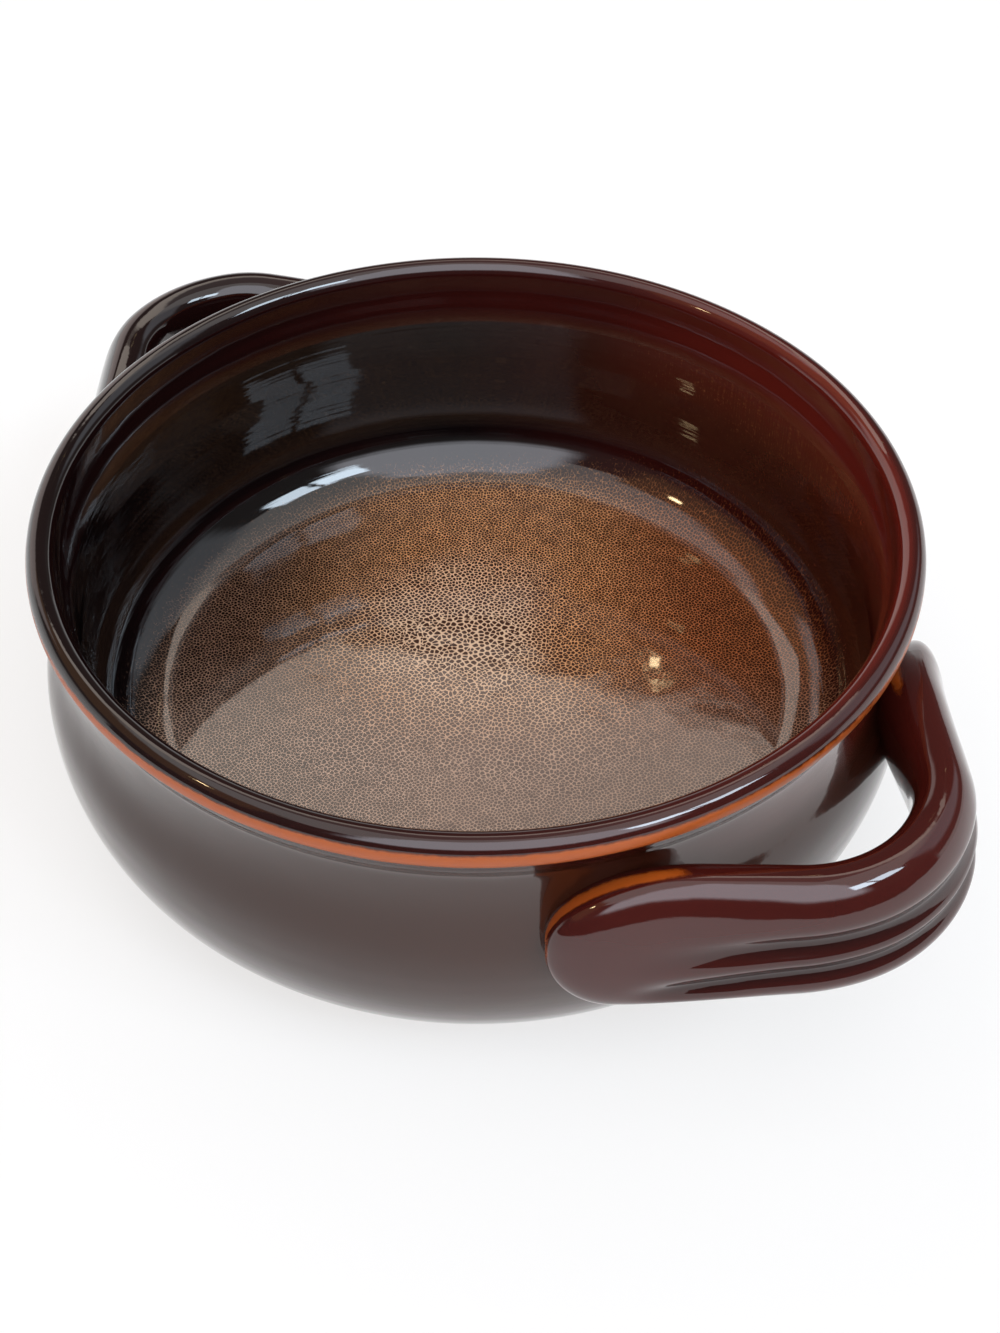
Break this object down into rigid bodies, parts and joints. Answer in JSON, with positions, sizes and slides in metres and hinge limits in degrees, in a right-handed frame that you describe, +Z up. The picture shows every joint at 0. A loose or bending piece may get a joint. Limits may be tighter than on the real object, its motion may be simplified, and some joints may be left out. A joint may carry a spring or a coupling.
{
  "type": "french onion soup crock",
  "caption": "Round glazed stoneware soup crock with a rolled lip, a full belly, a mottled floor and two ribbed strap handles on opposite sides.",
  "frame": {"origin": "centre of the foot ring's standing face, on the bowl's axis", "axes": "+Z up along the bowl's axis; the two handles lie on the X axis, +X towards the right handle"},
  "size_m": [0.2003, 0.1524, 0.06],
  "materials": {
    "stoneware_clay": "bare fired clay, matt, slightly sandy",
    "clay_slip": "fired slip, matt",
    "dark_brown_glaze": "glossy dark brown glaze that breaks to rust orange on edges",
    "mottled_glaze": "glossy effect glaze, dark brown cells in a fine cream network"
  },
  "bodies": {
    "root": {"bowl_body": "stoneware_clay", "inside_glaze": "dark_brown_glaze", "floor_glaze": "mottled_glaze", "outside_glaze": "dark_brown_glaze", "handle_right": "stoneware_clay", "handle_glaze_right": "dark_brown_glaze", "slip_joint_right_front": "clay_slip", "slip_joint_right_back": "clay_slip", "handle_left": "stoneware_clay", "handle_glaze_left": "dark_brown_glaze", "slip_joint_left_front": "clay_slip", "slip_joint_left_back": "clay_slip"}
  },
  "joints": []
}
